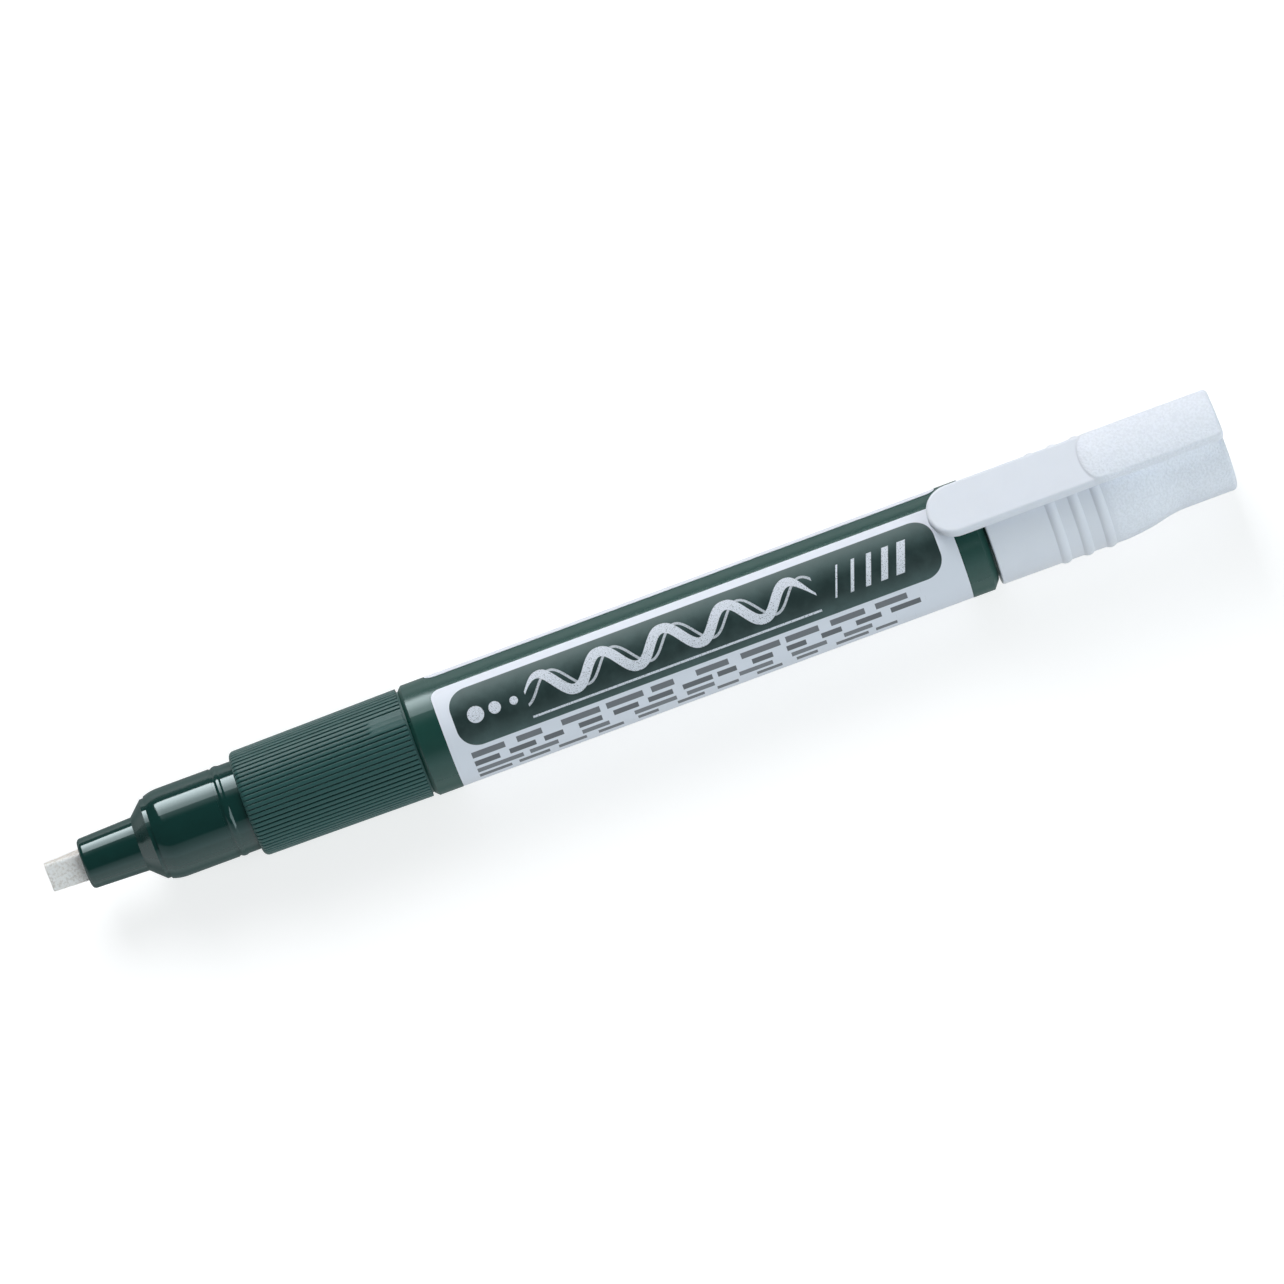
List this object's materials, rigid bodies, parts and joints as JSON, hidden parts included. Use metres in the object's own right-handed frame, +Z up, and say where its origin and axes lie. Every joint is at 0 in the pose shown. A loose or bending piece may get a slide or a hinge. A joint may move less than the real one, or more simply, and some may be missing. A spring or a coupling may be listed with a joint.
{
  "type": "liquid chalk marker",
  "caption": "Valve-action liquid chalk marker with a chisel nib, ribbed grip and labelled barrel, its clip cap posted on the rear end.",
  "frame": {"origin": "under the middle of the marker's length, on the surface that it lies on", "axes": "+X along the marker from the nib to the cap's closed end, +Z up through the clip, +Y square to both"},
  "size_m": [0.1396, 0.0132, 0.0159],
  "materials": {
    "felt": "fibrous",
    "valve_plastic": "natural",
    "nose_plastic": "gloss",
    "grip_plastic": "matte",
    "seal_rubber": "matte",
    "steel": "satin",
    "barrel_plastic": "satin",
    "label_film": "satin film",
    "cap_plastic": "satin, fine texture on the end",
    "liner_plastic": "natural"
  },
  "bodies": {
    "marker_body": {"nose": "nose_plastic", "grip_collar": "grip_plastic", "valve_seat": "seal_rubber", "valve_housing": "valve_plastic", "valve_spring": "steel", "barrel": "barrel_plastic", "barrel_label": "label_film"},
    "nib_plunger": {"nib": "felt", "nib_holder": "valve_plastic", "valve_stem": "valve_plastic"},
    "mixing_ball": {"mixing_ball": "steel"},
    "cap": {"cap": "cap_plastic", "inner_cap": "liner_plastic"}
  },
  "joints": [
    {"name": "nib_press", "type": "slide", "parent": "marker_body", "child": "nib_plunger", "axis": [1, 0, 0], "range_m": [0, 0.002], "stiffness_N_per_m": 600, "deforming": ["valve_spring"]},
    {"name": "cap_pull", "type": "slide", "parent": "marker_body", "child": "cap", "axis": [1, 0, 0], "range_m": [0, 0.03]},
    {"name": "ball_run", "type": "slide", "parent": "marker_body", "child": "mixing_ball", "axis": [1, 0, 0], "range_m": [-0.0265, 0.0265]}
  ]
}
